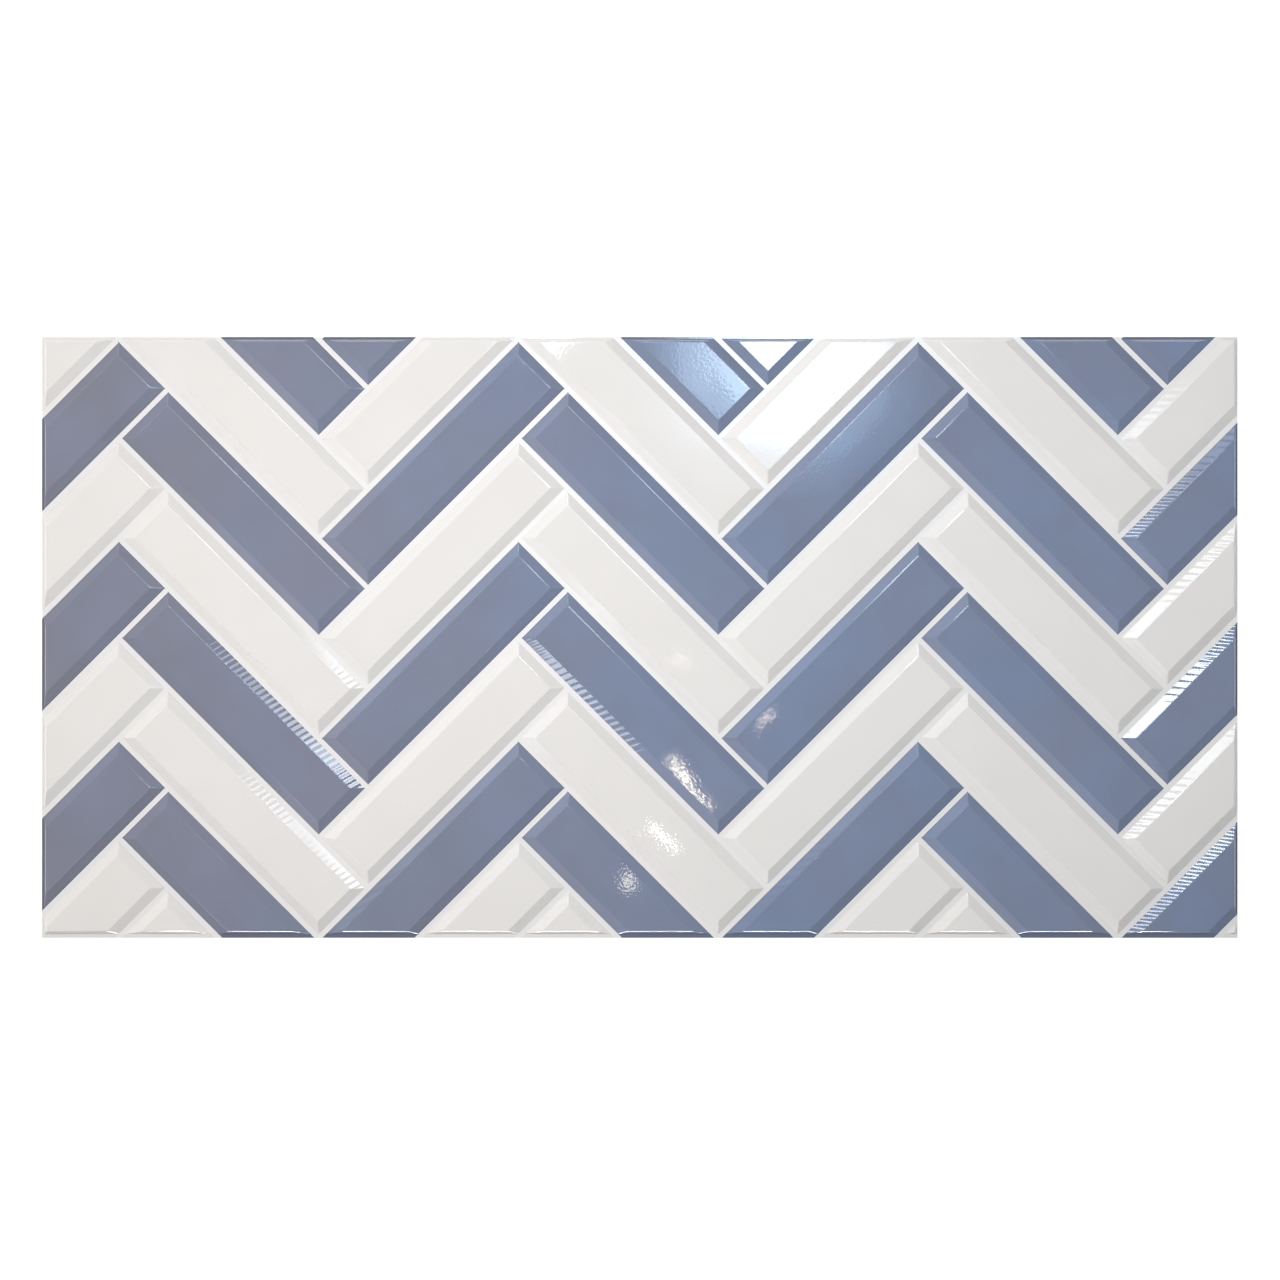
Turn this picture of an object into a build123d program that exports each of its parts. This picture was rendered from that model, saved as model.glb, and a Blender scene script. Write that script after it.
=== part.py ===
from build123d import *
from math import atan, ceil, degrees, hypot, radians, sqrt, tan
import os

# A wall panel drawn from one thin plastic sheet. Its front is a herringbone of bevelled
# tiles, raised from a flat network of joints, and its back is hollow behind every tile.
# It lies face up: X runs along the panel, Y across it, and Z = 0 is the back of the joints,
# with the origin under the middle of the panel. Sizes are in millimetres and degrees.

# The sheet
panel_length = 955.0
panel_width = 480.0
panel_depth = 4.0  # from the back of the joints to the face of the tiles
sheet_thickness = 0.4

# One tile, measured at its foot, and the joints round it
tile_length = 221.8
tile_width = 52.0
bevel_width = 7.7
side_joint = 4.4  # between two tiles that lie side by side
end_joint = 3.9  # the joints at a tile's two ends, half of each
face_rounding = 2.4  # where a tile's face turns over into its bevels

# The herringbone repeats one rising and one falling tile, and this rising tile sets its place
tile_angle = 45.0
rising_tile = (-156.9, -20.7)

# Along the panel's edges a wall cuts the tiles off, and outside it a flat rim is left
left_rim = 1.6
right_rim = 1.0
top_rim = 1.6
bottom_rim = 3.0
edge_wall_width = 2.8

# Worked out from the sizes above
relief = panel_depth - sheet_thickness
bevel_slope = degrees(atan(relief / bevel_width))
edge_wall_slope = degrees(atan(relief / edge_wall_width))
chevron_pitch = (tile_length + end_joint) * sqrt(2)  # from peak to peak along the panel
course_pitch = (tile_width + side_joint) * sqrt(2)  # from course to course across it
falling_tile = (rising_tile[0] + chevron_pitch / 2, rising_tile[1] - course_pitch / 2)
field_length = panel_length - left_rim - right_rim
field_width = panel_width - top_rim - bottom_rim
field_centre = ((left_rim - right_rim) / 2, (bottom_rim - top_rim) / 2)


def copies_to_cover(length, start, pitch):
    # The copies, in a row centred on start, that reach past both ends of the panel
    reach = length / 2 + abs(start) + hypot(tile_length, tile_width) / 2
    return 2 * ceil(reach / pitch) - 1


def foot_setback(slope):
    # How far inside a sloping wall's foot the foot of the hollow behind it lies
    return sheet_thickness * tan(radians(slope / 2))


def block(length, width, base, slope, rounding):
    # A flat-topped block with sloping sides, and its top edges rounded
    with BuildPart() as form:
        with BuildSketch(Plane.XY.offset(base)):
            Rectangle(length, width)
        extrude(amount=relief, taper=90 - slope)
        fillet(form.faces().sort_by(Axis.Z)[-1].edges(), radius=rounding)
    return form.part


def raised_tiles(base, bevel_setback, wall_setback, rounding):
    # Every tile of the herringbone, standing on the height base and cut off by the edge wall
    tile = block(
        tile_length - 2 * bevel_setback,
        tile_width - 2 * bevel_setback,
        base,
        bevel_slope,
        rounding,
    )
    field = block(
        field_length - 2 * wall_setback,
        field_width - 2 * wall_setback,
        base,
        edge_wall_slope,
        rounding,
    )
    with BuildPart() as tiles:
        for centre, angle in ((rising_tile, tile_angle), (falling_tile, -tile_angle)):
            columns = copies_to_cover(panel_length, centre[0], chevron_pitch)
            courses = copies_to_cover(panel_width, centre[1], course_pitch)
            with Locations(centre):
                with GridLocations(chevron_pitch, course_pitch, columns, courses):
                    add(tile, rotation=(0, 0, angle))
        with Locations(field_centre):
            add(field, mode=Mode.INTERSECT)
    return tiles.part


fronts = raised_tiles(sheet_thickness, 0, 0, face_rounding)
hollows = raised_tiles(
    0, foot_setback(bevel_slope), foot_setback(edge_wall_slope), face_rounding - sheet_thickness
)

with BuildPart() as panel:
    with BuildSketch():
        Rectangle(panel_length, panel_width)
    extrude(amount=sheet_thickness)
    add(fronts)
    add(hollows, mode=Mode.SUBTRACT)

panel.part.label = "panel"
os.makedirs("parts", exist_ok=True)
export_step(panel.part, "parts/panel.step")
print("tiles on the panel:", len(hollows.solids()))
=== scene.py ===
import random
from math import atan, atan2, ceil, degrees, exp, hypot, pi, radians, sqrt, tan

import bmesh
import bpy
from mathutils import Matrix, Vector


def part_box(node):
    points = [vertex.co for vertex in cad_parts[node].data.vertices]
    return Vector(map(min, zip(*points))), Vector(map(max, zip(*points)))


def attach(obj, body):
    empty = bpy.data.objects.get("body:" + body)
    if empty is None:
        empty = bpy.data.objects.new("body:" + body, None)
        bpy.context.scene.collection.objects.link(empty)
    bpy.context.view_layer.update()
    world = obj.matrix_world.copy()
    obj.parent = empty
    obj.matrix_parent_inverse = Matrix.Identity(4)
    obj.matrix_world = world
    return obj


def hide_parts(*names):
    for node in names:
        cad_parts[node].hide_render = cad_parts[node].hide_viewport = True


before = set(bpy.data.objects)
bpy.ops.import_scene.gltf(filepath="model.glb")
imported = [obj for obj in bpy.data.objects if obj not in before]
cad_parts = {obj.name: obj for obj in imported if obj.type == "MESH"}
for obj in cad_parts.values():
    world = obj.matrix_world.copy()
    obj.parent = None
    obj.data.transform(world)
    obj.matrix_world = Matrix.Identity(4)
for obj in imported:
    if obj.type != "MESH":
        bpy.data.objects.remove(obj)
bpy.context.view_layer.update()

scene = bpy.context.scene
scene.view_settings.view_transform = "Standard"
up = Vector((0, 0, 1))


# Node helpers

def addNode(tree, kind, **values):
    node = tree.nodes.new(kind)
    for name, value in values.items():
        setattr(node, name, value)
    return node


def feed(tree, source, target):
    tree.links.new(source, target)


def newGroup(name, inputs, outputs):
    # inputs: (name, kind, default); outputs: (name, kind)
    tree = bpy.data.node_groups.new(name, "ShaderNodeTree")
    for label, kind, default in inputs:
        socket = tree.interface.new_socket(name=label, in_out="INPUT", socket_type=kind)
        if default is not None:
            socket.default_value = default
    for label, kind in outputs:
        tree.interface.new_socket(name=label, in_out="OUTPUT", socket_type=kind)
    entry = tree.nodes.new("NodeGroupInput")
    exitNode = tree.nodes.new("NodeGroupOutput")
    return tree, entry, exitNode


def placeGroup(tree, group, **values):
    node = tree.nodes.new("ShaderNodeGroup")
    node.node_tree = group
    for name, value in values.items():
        node.inputs[name].default_value = value
    return node


def addNoise(tree, place, scale, detail):
    noise = addNode(tree, "ShaderNodeTexNoise")
    noise.inputs["Scale"].default_value = scale
    noise.inputs["Detail"].default_value = detail
    feed(tree, place.outputs["Object"], noise.inputs["Vector"])
    return noise


def addRange(tree, source, start, end, low, high, smooth=False):
    kind = "SMOOTHSTEP" if smooth else "LINEAR"
    node = addNode(tree, "ShaderNodeMapRange", interpolation_type=kind)
    for name, value in (("From Min", start), ("From Max", end), ("To Min", low), ("To Max", high)):
        node.inputs[name].default_value = value
    feed(tree, source, node.inputs["Value"])
    return node


def addMath(tree, operation, *values):
    # each value is a socket or a number
    node = addNode(tree, "ShaderNodeMath", operation=operation)
    for place, value in enumerate(values):
        if isinstance(value, bpy.types.NodeSocket):
            feed(tree, value, node.inputs[place])
        else:
            node.inputs[place].default_value = value
    return node


def addBump(tree, distance, strength, height, normal):
    bump = addNode(tree, "ShaderNodeBump")
    bump.inputs["Distance"].default_value = distance
    feed(tree, strength, bump.inputs["Strength"])
    feed(tree, height, bump.inputs["Height"])
    feed(tree, normal, bump.inputs["Normal"])
    return bump


def newMaterial(name):
    material = bpy.data.materials.new(name)
    material.use_nodes = True
    tree = material.node_tree
    return material, tree, tree.nodes["Principled BSDF"]


# Effects that the sheet's finishes share

surfaceSettings = {
    "waveScale": 14.0,
    "waveHeight": 0.0003,
    "peelScale": 430.0,
    "peelHeight": 0.000016,
    "noiseDetail": 1.0,
    "strengthOnSlopes": 0.15,  # of the waves and the peel
    "millingPitch": 0.00574,
    "millingHeight": 0.0000165,
    "millingSlant": 0.48,
    "millingStraightAt": 0.35,  # the place along the panel where the lines don't slant
}


def makeSheetSurface():
    # how a drawn, glossy sheet bends its reflections: each tile leans a little its own way,
    # the faces are slightly wavy with a fine orange peel, both fainter on the slopes, and
    # there the mould's milling prints through; its lines slant more and more to the left
    look = surfaceSettings
    tree, entry, exitNode = newGroup(
        "drawnSheetSurface",
        [("Milling", "NodeSocketFloat", 1.0)],
        [("Normal", "NodeSocketVector")],
    )
    place = addNode(tree, "ShaderNodeTexCoord")
    geometry = addNode(tree, "ShaderNodeNewGeometry")
    slope = addNode(tree, "ShaderNodeAttribute", attribute_name="slope")
    lean = addNode(tree, "ShaderNodeAttribute", attribute_name="tileLean")
    leaning = addNode(tree, "ShaderNodeVectorMath", operation="ADD")
    feed(tree, geometry.outputs["Normal"], leaning.inputs[0])
    feed(tree, lean.outputs["Vector"], leaning.inputs[1])
    unit = addNode(tree, "ShaderNodeVectorMath", operation="NORMALIZE")
    feed(tree, leaning.outputs["Vector"], unit.inputs[0])

    strength = addRange(tree, slope.outputs["Fac"], 0, 1, 1, look["strengthOnSlopes"])
    normal = unit.outputs["Vector"]
    for name in ("wave", "peel"):
        noise = addNoise(tree, place, look[name + "Scale"], look["noiseDetail"])
        bump = addBump(
            tree, look[name + "Height"], strength.outputs["Result"], noise.outputs["Fac"], normal
        )
        normal = bump.outputs["Normal"]

    spot = addNode(tree, "ShaderNodeSeparateXYZ")
    feed(tree, place.outputs["Object"], spot.inputs["Vector"])
    fromStraight = addMath(tree, "SUBTRACT", spot.outputs["X"], look["millingStraightAt"])
    squared = addMath(tree, "MULTIPLY", fromStraight.outputs[0], fromStraight.outputs[0])
    across = addMath(
        tree, "MULTIPLY_ADD", squared.outputs[0], look["millingSlant"], spot.outputs["Y"]
    )
    turns = addMath(tree, "MULTIPLY", across.outputs[0], 2 * pi / look["millingPitch"])
    ridges = addMath(tree, "SINE", turns.outputs[0])
    milled = addMath(tree, "MULTIPLY", slope.outputs["Fac"], entry.outputs["Milling"])
    milling = addBump(
        tree, look["millingHeight"], milled.outputs[0], ridges.outputs[0], normal
    )
    feed(tree, milling.outputs["Normal"], exitNode.inputs["Normal"])
    return tree


colourSettings = {
    "cloudScale": 22.0,
    "cloudDetail": 5.0,
    "driftScale": 11.0,
    "driftDetail": 2.0,
    "noiseLow": 0.3,  # noise seldom leaves these two values
    "noiseHigh": 0.7,
    "driftShare": 0.3,  # how much of the other shade the slow noise may bring
    "otherShareRight": 0.7,  # how much of it there is at the right
    "otherStart": -0.5,  # it comes in between these two places along the panel
    "otherEnd": 0.15,
    "footHeight": 0.0008,  # how high the painted shade in the crease at a tile's foot reaches
}


def makePrintedColour():
    # an ink or a white skin with faint clouds, which turns to another shade towards the right,
    # and a darker line of painted shade in the crease where it runs down to the joint
    look = colourSettings
    tree, entry, exitNode = newGroup(
        "sheetColour",
        [
            ("Colour", "NodeSocketColor", (0.5, 0.5, 0.5, 1)),
            ("Other Shade", "NodeSocketColor", (0.5, 0.5, 0.5, 1)),
            ("Clouds", "NodeSocketFloat", 0.03),
            # painted shade: how much the colour darkens in the crease at a tile's foot
            ("Painted Foot Shade", "NodeSocketFloat", 0.0),
        ],
        [("Colour", "NodeSocketColor")],
    )
    place = addNode(tree, "ShaderNodeTexCoord")
    spot = addNode(tree, "ShaderNodeSeparateXYZ")
    feed(tree, place.outputs["Object"], spot.inputs["Vector"])

    cloud = addNoise(tree, place, look["cloudScale"], look["cloudDetail"])
    spread = addRange(tree, cloud.outputs["Fac"], look["noiseLow"], look["noiseHigh"], -1, 1)
    clouds = addMath(
        tree, "MULTIPLY_ADD", spread.outputs["Result"], entry.outputs["Clouds"], 1.0
    )
    foot = panelSettings["sheetThickness"]
    # painted shade in the crease at the foot: darkest at the foot, gone at the given height above
    # it
    nearFoot = addRange(tree, spot.outputs["Z"], foot, look["footHeight"], 1, 0, smooth=True)
    darker = addMath(tree, "MULTIPLY", nearFoot.outputs["Result"], entry.outputs["Painted Foot Shade"])
    kept = addMath(tree, "SUBTRACT", 1.0, darker.outputs[0])
    brightness = addMath(tree, "MULTIPLY", kept.outputs[0], clouds.outputs[0])

    drift = addNoise(tree, place, look["driftScale"], look["driftDetail"])
    drifted = addRange(
        tree,
        drift.outputs["Fac"],
        look["noiseLow"],
        look["noiseHigh"],
        0,
        look["driftShare"],
        smooth=True,
    )
    along = addRange(
        tree,
        spot.outputs["X"],
        look["otherStart"],
        look["otherEnd"],
        0,
        look["otherShareRight"],
        smooth=True,
    )
    otherShare = addMath(tree, "ADD", drifted.outputs["Result"], along.outputs["Result"])
    shade = addNode(tree, "ShaderNodeMix", data_type="RGBA")
    feed(tree, otherShare.outputs[0], shade.inputs["Factor"])
    feed(tree, entry.outputs["Colour"], shade.inputs["A"])
    feed(tree, entry.outputs["Other Shade"], shade.inputs["B"])
    tinted = addNode(tree, "ShaderNodeVectorMath", operation="SCALE")
    feed(tree, shade.outputs["Result"], tinted.inputs[0])
    feed(tree, brightness.outputs[0], tinted.inputs["Scale"])
    feed(tree, tinted.outputs["Vector"], exitNode.inputs["Colour"])
    return tree


# Finishes of the sheet

finishSettings = {
    "bluePrint": {
        "colour": (0.208, 0.212, 0.268),
        "otherShade": (0.180, 0.230, 0.352),
        "clouds": 0.035,
        # painted shade in the crease at the tile's foot
        "paintedFootShade": 0.35,
        "milling": 1.0,
        "roughness": 0.035,
    },
    "whiteTile": {
        "colour": (0.755, 0.735, 0.717),
        "otherShade": (0.752, 0.738, 0.724),
        "clouds": 0.012,
        # painted shade in the crease at the tile's foot
        "paintedFootShade": 0.03,
        "milling": 1.0,
        "roughness": 0.035,
    },
    "whiteJoint": {
        "colour": (0.760, 0.748, 0.742),
        "otherShade": (0.755, 0.750, 0.746),
        "clouds": 0.012,
        "paintedFootShade": 0.0,
        "milling": 0.0,
        "roughness": 0.3,
    },
    "bareBack": {"colour": (0.74, 0.735, 0.72), "clouds": 0.02, "roughness": 0.5},
}
glossySpecular = 0.9


def makeGlossyFinish(name, surface, ink):
    look = finishSettings[name]
    material, tree, shader = newMaterial(name)
    tint = placeGroup(
        tree,
        ink,
        **{
            "Colour": (*look["colour"], 1),
            "Other Shade": (*look["otherShade"], 1),
            "Clouds": look["clouds"],
            "Painted Foot Shade": look["paintedFootShade"],
        },
    )
    feed(tree, tint.outputs["Colour"], shader.inputs["Base Color"])
    skin = placeGroup(tree, surface, Milling=look["milling"])
    feed(tree, skin.outputs["Normal"], shader.inputs["Normal"])
    shader.inputs["Roughness"].default_value = look["roughness"]
    shader.inputs["Specular IOR Level"].default_value = glossySpecular
    return material


def makeBareBack(ink):
    look = finishSettings["bareBack"]
    material, tree, shader = newMaterial("bareBack")
    colour = (*look["colour"], 1)
    tint = placeGroup(
        tree, ink, **{"Colour": colour, "Other Shade": colour, "Clouds": look["clouds"]}
    )
    feed(tree, tint.outputs["Colour"], shader.inputs["Base Color"])
    shader.inputs["Roughness"].default_value = look["roughness"]
    return material


# The panel: one drawn sheet, face up, with a herringbone of bevelled tiles

panelSettings = {
    "sheetThickness": 0.0004,
    "tileLength": 0.2218,  # a tile's foot
    "tileWidth": 0.052,
    "bevelWidth": 0.0077,
    "sideJoint": 0.0044,
    "endJoint": 0.0039,
    "risingTile": (-0.1569, -0.0207),  # the middle of the tile that sets the pattern's place
    "rims": {"left": 0.0016, "right": 0.001, "top": 0.0016, "bottom": 0.003},
    "wallWidth": 0.0028,  # of the wall that cuts the tiles off
    "rounding": 0.00053,  # along the edges of the faces, bevels and walls
    "roundingSteps": 3,
    "roundedFrom": radians(8),  # flatter edges than this aren't rounded
    "footBand": 0.0001,  # nor are those that stay this low over the foot
    "innerShare": 0.8,  # how much of the rounding the back has
    "sharpFrom": radians(20),  # edges that turn more than this are shaded sharp
    "straightWithin": 0.001,  # an edge that turns less than this, in radians, runs on straight
    "flatFrom": 0.985,  # a face whose normal rises this much isn't a slope
    "lean": radians(0.12),  # how far a tile's face may lean
    "leanSeed": 5,
}
finishSlots = {"whiteTile": 0, "bluePrint": 1, "whiteJoint": 2, "bareBack": 3}
tolerance = 1e-6


def tilePlaces(low, high):
    # middle, turn and colour of every tile that may reach the panel
    s = panelSettings
    chevron = (s["tileLength"] + s["endJoint"]) * sqrt(2)
    course = (s["tileWidth"] + s["sideJoint"]) * sqrt(2)
    reach = hypot(s["tileLength"], s["tileWidth"]) / 2
    x, y = s["risingTile"]
    for startX, startY, turn in ((x, y, 45), (x + chevron / 2, y - course / 2, -45)):
        columns = ceil((high.x - low.x + 2 * reach) / chevron)
        courses = ceil((high.y - low.y + 2 * reach) / course)
        for i in range(-columns, columns + 1):
            for j in range(-courses, courses + 1):
                middle = Vector((startX + i * chevron, startY + j * course, 0))
                if abs(middle.x) < high.x + reach and abs(middle.y) < high.y + reach:
                    yield middle, radians(turn), j % 2 == 0


def panelSides(low, high):
    # outward direction, a point on the cut edge and a point at the wall's foot, for each side
    rims = panelSettings["rims"]
    return (
        (Vector((-1, 0, 0)), Vector((low.x, 0, 0)), Vector((low.x + rims["left"], 0, 0))),
        (Vector((1, 0, 0)), Vector((high.x, 0, 0)), Vector((high.x - rims["right"], 0, 0))),
        (Vector((0, -1, 0)), Vector((0, low.y, 0)), Vector((0, low.y + rims["bottom"], 0))),
        (Vector((0, 1, 0)), Vector((0, high.y, 0)), Vector((0, high.y - rims["top"], 0))),
    )


def footSetback(width, relief):
    # how far the back of a sloping wall's foot lies inside its front
    return panelSettings["sheetThickness"] * tan(atan(relief / width) / 2)


def cut(mesh, point, direction, drop=True):
    everything = mesh.verts[:] + mesh.edges[:] + mesh.faces[:]
    if everything:
        bmesh.ops.bisect_plane(
            mesh,
            geom=everything,
            dist=tolerance / 10,
            plane_co=point,
            plane_no=direction,
            clear_outer=drop,
        )


def raisedTile(middle, turn, sides, foot, relief, setback):
    # a tile's bevels and face, cut off by the wall along the panel's edges
    s = panelSettings
    length = s["tileLength"] - 2 * setback
    width = s["tileWidth"] - 2 * setback
    mesh = bmesh.new()
    made = bmesh.ops.create_cube(mesh, size=1)
    bmesh.ops.scale(mesh, vec=(length, width, relief), verts=made["verts"])
    narrower = (1 - 2 * s["bevelWidth"] / length, 1 - 2 * s["bevelWidth"] / width, 1)
    bmesh.ops.scale(mesh, vec=narrower, verts=[v for v in mesh.verts if v.co.z > 0])
    bmesh.ops.rotate(mesh, cent=(0, 0, 0), matrix=Matrix.Rotation(turn, 3, "Z"), verts=mesh.verts)
    bmesh.ops.translate(mesh, vec=middle + up * (foot + relief / 2), verts=mesh.verts)
    wallSetback = footSetback(s["wallWidth"], relief) if setback else 0
    for outward, edge, wallFoot in sides:
        slope = outward * relief + up * s["wallWidth"]
        cut(mesh, wallFoot - outward * wallSetback + up * foot, slope.normalized())
        bmesh.ops.holes_fill(mesh, edges=mesh.edges, sides=0)
    bmesh.ops.recalc_face_normals(mesh, faces=mesh.faces)
    under = [f for f in mesh.faces if f.normal.z < -s["flatFrom"]]
    bmesh.ops.delete(mesh, geom=under, context="FACES")
    # the cuts leave some points in the middle of straight edges
    twoEdged = [v for v in mesh.verts if len(v.link_edges) == 2]
    between = [v for v in twoEdged if v.calc_edge_angle(1) < s["straightWithin"]]
    bmesh.ops.dissolve_verts(mesh, verts=between)
    return mesh


def rimPrint(middle, turn, sides, foot):
    # where a tile's print runs on over the flat rim, outside the wall
    s = panelSettings
    mesh = bmesh.new()
    made = bmesh.ops.create_grid(mesh, x_segments=1, y_segments=1, size=0.5)
    bmesh.ops.scale(mesh, vec=(s["tileLength"], s["tileWidth"], 1), verts=made["verts"])
    bmesh.ops.rotate(mesh, cent=(0, 0, 0), matrix=Matrix.Rotation(turn, 3, "Z"), verts=mesh.verts)
    bmesh.ops.translate(mesh, vec=middle + up * foot, verts=mesh.verts)
    for outward, edge, wallFoot in sides:
        cut(mesh, edge, outward)
    for outward, edge, wallFoot in sides:
        cut(mesh, wallFoot, outward, drop=False)
    covered = []
    for face in mesh.faces:
        spot = face.calc_center_median()
        if all((spot - wallFoot).dot(outward) < 0 for outward, edge, wallFoot in sides):
            covered.append(face)
    bmesh.ops.delete(mesh, geom=covered, context="FACES")
    return mesh


def joinInto(sheet, mesh, number, slot, lean):
    # adds a tile's mesh, and marks its faces with its number, finish and lean
    before = len(sheet.faces)
    carrier = bpy.data.meshes.new("carrier")
    mesh.to_mesh(carrier)
    mesh.free()
    sheet.from_mesh(carrier)
    bpy.data.meshes.remove(carrier)
    sheet.faces.ensure_lookup_table()
    numbers = sheet.faces.layers.int["tileNumber"]
    leans = sheet.faces.layers.float_vector["tileLean"]
    for face in sheet.faces[before:]:
        face[numbers] = number
        face[leans] = lean
        face.material_index = slot


def newSheet():
    sheet = bmesh.new()
    sheet.faces.layers.int.new("tileNumber")
    sheet.faces.layers.float_vector.new("tileLean")
    return sheet


def atCutEdge(edge, low, high):
    for axis, level in ((0, low.x), (0, high.x), (1, low.y), (1, high.y)):
        if all(abs(v.co[axis] - level) < tolerance for v in edge.verts):
            return True
    return False


def layJoints(sheet, low, high, foot, slot):
    # the flat joints fill what the tiles leave free, out to the sheet's cut edge
    for x in (low.x, high.x):
        for y in (low.y, high.y):
            corner = Vector((x, y, foot))
            if not any((v.co - corner).length < tolerance for v in sheet.verts):
                sheet.verts.new(corner)
    outline = [e for e in sheet.edges if len(e.link_faces) == 1 and not atCutEdge(e, low, high)]
    for axis, level in ((0, low.x), (0, high.x), (1, low.y), (1, high.y)):
        line = [v for v in sheet.verts if abs(v.co[axis] - level) < tolerance]
        line.sort(key=lambda v: v.co[1 - axis])
        for one, other in zip(line, line[1:]):
            if sheet.edges.get((one, other)) is None:
                outline.append(sheet.edges.new((one, other)))
    filled = bmesh.ops.triangle_fill(sheet, use_beauty=True, edges=outline, normal=up)
    for item in filled["geom"]:
        if isinstance(item, bmesh.types.BMFace):
            item.material_index = slot


def roundTiles(sheet, count, foot, rounding):
    # rounds the edges of each tile's face, bevels and walls
    s = panelSettings
    numbers = sheet.faces.layers.int["tileNumber"]
    for number in range(1, count + 1):
        edges = []
        for edge in sheet.edges:
            own = [f for f in edge.link_faces if f[numbers] == number]
            if len(own) == 2 and max(v.co.z for v in edge.verts) > foot + s["footBand"]:
                if edge.calc_face_angle(0) > s["roundedFrom"]:
                    edges.append(edge)
        if edges:
            rounded = bmesh.ops.bevel(
                sheet,
                geom=edges,
                offset=rounding,
                offset_type="OFFSET",
                segments=s["roundingSteps"],
                profile=0.5,
                affect="EDGES",
                clamp_overlap=True,
                material=-1,
            )
            for face in rounded["faces"]:
                face.smooth = True


def drawnSheet(low, high, foot, relief, isFront):
    # one side of the sheet: its tiles, the joints between them and the rim
    s = panelSettings
    sides = panelSides(low, high)
    chance = random.Random(s["leanSeed"])
    setback = 0 if isFront else footSetback(s["bevelWidth"], relief)
    rounding = s["rounding"] * (1 if isFront else s["innerShare"])
    sheet = newSheet()
    count = 0
    for middle, turn, isBlue in tilePlaces(low, high):
        ink = "bluePrint" if isBlue else "whiteTile"
        slot = finishSlots[ink if isFront else "bareBack"]
        lean = Vector((chance.gauss(0, s["lean"]), chance.gauss(0, s["lean"]), 0))
        tile = raisedTile(middle, turn, sides, foot, relief, setback)
        if tile.faces:
            count += 1
        joinInto(sheet, tile, count, slot, lean)
        if isFront:
            joinInto(sheet, rimPrint(middle, turn, sides, foot), 0, slot, Vector((0, 0, 0)))
    bmesh.ops.remove_doubles(sheet, verts=sheet.verts, dist=2 * tolerance)
    layJoints(sheet, low, high, foot, finishSlots["whiteJoint" if isFront else "bareBack"])
    for face in sheet.faces:
        if face.normal.z < 0:
            face.normal_flip()
    openEdges = [e for e in sheet.edges if len(e.link_faces) == 1 and not atCutEdge(e, low, high)]
    print("sheet side:", count, "tiles,", len(sheet.faces), "faces,", len(openEdges), "open edges")
    roundTiles(sheet, count, foot, rounding)
    return sheet


def makePanel(finishes):
    s = panelSettings
    low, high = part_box("panel")
    relief = high.z - low.z - s["sheetThickness"]
    panel = drawnSheet(low, high, low.z + s["sheetThickness"], relief, True)
    back = drawnSheet(low, high, low.z, relief, False)
    bmesh.ops.reverse_faces(back, faces=back.faces)
    carrier = bpy.data.meshes.new("carrier")
    back.to_mesh(carrier)
    back.free()
    panel.from_mesh(carrier)
    bpy.data.meshes.remove(carrier)
    # the cut edge joins the front to the back
    cutEdges = [e for e in panel.edges if len(e.link_faces) == 1]
    closed = bmesh.ops.bridge_loops(panel, edges=cutEdges)
    for face in closed["faces"]:
        face.material_index = finishSlots["bareBack"]
    openEdges = sum(len(e.link_faces) == 1 for e in panel.edges)
    slope = panel.faces.layers.float.new("slope")
    for face in panel.faces:
        face[slope] = 1 if face.normal.z < s["flatFrom"] else 0
    for edge in panel.edges:
        edge.smooth = edge.calc_face_angle(0) < s["sharpFrom"]
    sheet = bpy.data.meshes.new("herringbonePanel")
    panel.to_mesh(sheet)
    panel.free()
    for name in finishSlots:
        sheet.materials.append(finishes[name])
    piece = bpy.data.objects.new("herringbonePanel", sheet)
    scene.collection.objects.link(piece)
    print("panel:", len(sheet.polygons), "faces,", openEdges, "open edges")
    return piece


sheetSurface = makeSheetSurface()
sheetColour = makePrintedColour()
sheetFinishes = {}
for finishName in ("whiteTile", "bluePrint", "whiteJoint"):
    sheetFinishes[finishName] = makeGlossyFinish(finishName, sheetSurface, sheetColour)
sheetFinishes["bareBack"] = makeBareBack(sheetColour)
print("finishes made")

panelPiece = makePanel(sheetFinishes)
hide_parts("panel")
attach(panelPiece, "root")
print("panel made")


# Studio: pale floor, soft lamps and a camera straight above the panel

studioSettings = {
    "cameraHeight": 1.4,
    "viewWidth": 1.0225,  # what the square picture takes in at the panel
    "lookAt": (0.00024, -0.0021),
    "sensorWidth": 36,
    "floorSize": 5.0,
    "floorDrop": 0.0001,  # under the panel's back
    "floorColour": (0.90, 0.90, 0.90),
    "floorRoughness": 0.9,
    "floorLift": 0.4,  # its own glow, where the camera or a reflection sees it
    "skyStrength": 0.28,
}


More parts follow.
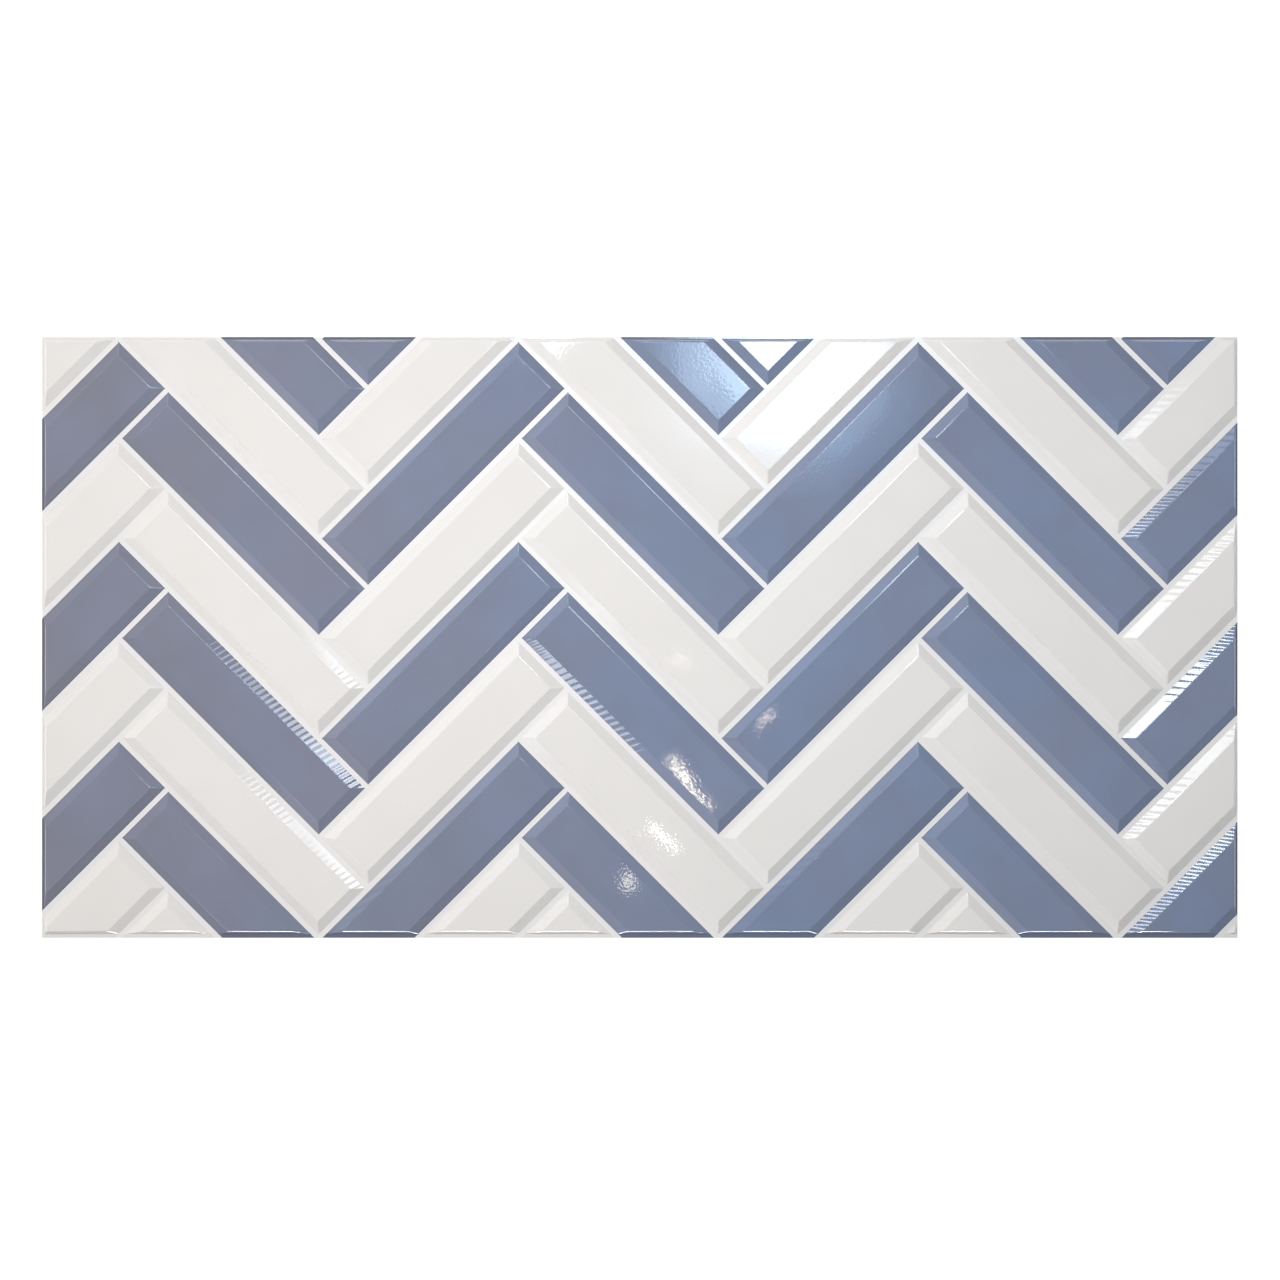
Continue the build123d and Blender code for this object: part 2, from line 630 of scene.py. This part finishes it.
def makeFloor():
    s = studioSettings
    mesh = bmesh.new()
    bmesh.ops.create_grid(mesh, x_segments=1, y_segments=1, size=s["floorSize"] / 2)
    bmesh.ops.translate(mesh, vec=-up * s["floorDrop"], verts=mesh.verts)
    sheet = bpy.data.meshes.new("studioFloor")
    mesh.to_mesh(sheet)
    mesh.free()
    floor = bpy.data.objects.new("studioFloor", sheet)
    scene.collection.objects.link(floor)
    material, tree, shader = newMaterial("studioFloor")
    shader.inputs["Base Color"].default_value = (*s["floorColour"], 1)
    shader.inputs["Roughness"].default_value = s["floorRoughness"]
    shader.inputs["Specular IOR Level"].default_value = 0.0
    # where it is seen the floor is a little lighter, and it keeps its shadow
    path = addNode(tree, "ShaderNodeLightPath")
    seen = addMath(tree, "ADD", path.outputs["Is Camera Ray"], path.outputs["Is Glossy Ray"])
    seenToo = addMath(tree, "ADD", seen.outputs[0], path.outputs["Is Transmission Ray"])
    seenToo.use_clamp = True
    lift = addMath(tree, "MULTIPLY", seenToo.outputs[0], s["floorLift"])
    shader.inputs["Emission Color"].default_value = (1, 1, 1, 1)
    feed(tree, lift.outputs[0], shader.inputs["Emission Strength"])
    sheet.materials.append(material)


# radiance is a lamp's own brightness; one with no aim points straight down
lampSettings = {
    "keyLamp": {"place": (-0.19, 0.15, 0.76), "size": (0.3, 0.3), "radiance": 6.2},
    "overheadLamp": {"place": (-0.17, 0.11, 1.25), "size": (0.5, 0.5), "radiance": 3.3},
    "leftSoftbox": {
        "place": (-2.7, 0.75, 1.9),
        "aim": (0, 0, 0),
        "size": (3.4, 2.0),
        "radiance": 3.1,
        "colour": (1.04, 1, 0.96),
    },
    "rightLamp": {
        "place": (0.65, 0.4, 1.3),
        "aim": (0.45, 0, 0),
        "size": (0.6, 0.6),
        "radiance": 5,
        "colour": (0.96, 1, 1.04),
    },
}

# panes and small lamps that show only as reflections in the glossy sheet
reflectionSettings = {
    "warmSpotUpper": {
        "place": (0.073, -0.030, 1.58),
        "size": (0.04, 0.004),
        "turn": -45,
        "radiance": 6,
        "colour": (1, 0.95, 0.8),
        "round": True,
    },
    "warmSpotMiddle": {
        "place": (0.073, -0.266, 1.58),
        "size": (0.11, 0.0035),
        "turn": -50,
        "radiance": 44,
        "colour": (1, 0.89, 0.66),
        "round": True,
    },
    "warmSpotLower": {
        "place": (0.038, -0.340, 1.58),
        "size": (0.075, 0.008),
        "turn": -45,
        "radiance": 16,
        "colour": (1, 0.96, 0.85),
        "round": True,
    },
    "warmSpotLowest": {
        "place": (-0.02, -0.404, 1.58),
        "size": (0.035, 0.02),
        "turn": -45,
        "radiance": 6,
        "colour": (1, 0.9, 0.75),
        "round": True,
    },
    "warmSpotRight": {
        "place": (0.216, -0.134, 1.58),
        "size": (0.05, 0.005),
        "turn": 45,
        "radiance": 14,
        "colour": (1, 0.88, 0.7),
        "round": True,
    },
    "bottomPane": {
        "place": (0, -2.0, 0.35),
        "aim": (0, -0.235, 0),
        "size": (1.8, 0.4),
        "radiance": 40,
    },
    "paleWallUpperLeft": {
        "place": (-1.2, 1.35, 1.41),
        "size": (2.2, 1.4),
        "radiance": 0.48,
        "colour": (0.9, 1, 1.2),
    },
    "paleWallLowerLeft": {
        "place": (-1.2, -1.35, 1.41),
        "size": (2.2, 1.4),
        "radiance": 0.5,
        "colour": (1, 0.95, 1.1),
    },
}


def makeLamp(name, look, shows):
    lamp = bpy.data.lights.new(name, "AREA")
    lamp.shape = "ELLIPSE" if look.get("round") else "RECTANGLE"
    lamp.size, lamp.size_y = look["size"]
    lamp.energy = look["radiance"] * pi * look["size"][0] * look["size"][1]
    lamp.color = look.get("colour", (1, 1, 1))
    holder = bpy.data.objects.new(name, lamp)
    scene.collection.objects.link(holder)
    holder.location = look["place"]
    if "aim" in look:
        sight = Vector(look["aim"]) - Vector(look["place"])
        holder.rotation_euler = sight.to_track_quat("-Z", "Y").to_euler()
    else:
        holder.rotation_euler.z = radians(look.get("turn", 0))
    holder.visible_camera = False
    holder.visible_diffuse = shows == "light"
    holder.visible_glossy = shows == "reflection"


# strips of window light that the slopes mirror: the way a slope faces, the line along it where
# its glint shows, whether the glint is even or broken into milling lines, and its radiance
glintSettings = {
    "height": 1.4,
    "colour": (0.85, 0.95, 1.03),
    "evenWidth": 0.16,
    "linesWidth": 0.05,  # so narrow that each ridge mirrors it along two lines alone
    "strips": (
        ((1, 1), (-0.319, -0.027), (-0.280, -0.066), "lines", 3.0),
        ((1, 1), (-0.280, -0.066), (-0.247, -0.099), "even", 5),
        ((1, 1), (-0.247, -0.099), (-0.220, -0.126), "even", 9),
        ((1, 1), (-0.261, -0.005), (-0.220, -0.046), "lines", 5),
        ((1, 1), (-0.299, -0.127), (-0.257, -0.169), "even", 2.8),
        ((1, 1), (-0.257, -0.169), (-0.220, -0.206), "lines", 5),
        ((-1, 1), (0.381, 0.150), (0.422, 0.191), "even", 2.0),
        ((-1, 1), (0.381, 0.070), (0.408, 0.097), "lines", 9),
        ((-1, 1), (0.408, 0.097), (0.440, 0.129), "lines", 5),
        ((-1, 1), (0.440, 0.129), (0.481, 0.170), "even", 1.4),
        ((-1, 1), (0.381, -0.010), (0.435, 0.045), "even", 3.0),
        ((-1, 1), (0.435, 0.045), (0.481, 0.090), "lines", 5),
        ((-1, 1), (0.381, -0.090), (0.440, -0.031), "even", 13),
        ((-1, 1), (0.440, -0.031), (0.481, 0.010), "lines", 13),
        ((-1, 1), (0.381, -0.170), (0.422, -0.129), "lines", 5),
        ((-1, 1), (0.422, -0.129), (0.481, -0.070), "even", 3.0),
        ((-1, 1), (0.381, -0.250), (0.431, -0.199), "lines", 8),
        ((-1, 1), (0.431, -0.199), (0.481, -0.149), "lines", 13),
        ((-1, -1), (-0.090, 0.000), (-0.045, -0.045), "even", 4.5),
        ((-1, -1), (-0.045, -0.045), (-0.014, -0.076), "lines", 4),
        ((-1, -1), (-0.090, -0.080), (-0.067, -0.103), "lines", 3),
        ((-1, -1), (-0.044, 0.034), (-0.014, 0.004), "lines", 3),
    ),
}


def mirroredBySlope(facing, spot, height):
    # the place at this height that the camera sees mirrored in a bevel
    studio = studioSettings
    low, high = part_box("panel")
    foot = low.z + panelSettings["sheetThickness"]
    rise = (high.z - foot) / panelSettings["bevelWidth"]
    normal = Vector((*facing, sqrt(2) / rise)).normalized()
    onSlope = Vector((*spot, (foot + high.z) / 2))
    sight = Vector((*studio["lookAt"], studio["cameraHeight"])) - onSlope
    back = 2 * sight.dot(normal) * normal - sight
    return onSlope + back * ((height - onSlope.z) / back.z)


def makeGlints():
    s = glintSettings
    for facing, start, end, kind, radiance in s["strips"]:
        one = mirroredBySlope(facing, start, s["height"])
        other = mirroredBySlope(facing, end, s["height"])
        run = other - one
        look = {
            "place": (one + other) / 2,
            "size": (run.length, s[kind + "Width"]),
            "turn": degrees(atan2(run.y, run.x)),
            "radiance": radiance,
            "colour": s["colour"],
        }
        makeLamp("glint", look, "reflection")


# a window out of focus: a stack of discs, brightest and whitest at its middle
windowSettings = {
    "place": (0.307, 0.654, 2.5),
    "radius": 0.366,
    "spread": 0.17,
    "rings": 7,
    "ringGap": 0.002,
    "radiance": 14,
    "coreColour": (1, 1, 0.98),
    "rimColour": (0.55, 0.95, 1.35),
}


def makeWindow():
    s = windowSettings
    step = s["radius"] / s["rings"]
    for ring in range(s["rings"]):
        inner = exp(-((ring * step / s["spread"]) ** 2))
        outer = exp(-(((ring + 1) * step / s["spread"]) ** 2))
        share = ring / (s["rings"] - 1)
        colour = [c + (r - c) * share for c, r in zip(s["coreColour"], s["rimColour"])]
        width = 2 * (ring + 0.5) * step
        x, y, height = s["place"]
        look = {
            "place": (x, y, height - s["ringGap"] * ring),
            "size": (width, width),
            "radiance": s["radiance"] * (inner - outer),
            "colour": colour,
            "round": True,
        }
        makeLamp("windowRing", look, "reflection")


def makeLamps():
    for name, look in lampSettings.items():
        makeLamp(name, look, "light")
    for name, look in reflectionSettings.items():
        makeLamp(name, look, "reflection")
    makeGlints()
    makeWindow()
    world = bpy.data.worlds.new("studioSky")
    world.use_nodes = True
    sky = world.node_tree.nodes["Background"]
    sky.inputs["Color"].default_value = (1, 1, 1, 1)
    sky.inputs["Strength"].default_value = studioSettings["skyStrength"]
    scene.world = world


def makeCamera():
    s = studioSettings
    distance = s["cameraHeight"] - panelSettings["sheetThickness"]  # to the joints
    camera = bpy.data.cameras.new("camera")
    camera.sensor_fit = "HORIZONTAL"
    camera.sensor_width = s["sensorWidth"]
    camera.lens = s["sensorWidth"] * distance / s["viewWidth"]
    holder = bpy.data.objects.new("camera", camera)
    scene.collection.objects.link(holder)
    holder.location = (*s["lookAt"], s["cameraHeight"])
    scene.camera = holder


makeFloor()
makeLamps()
makeCamera()
print("studio made")
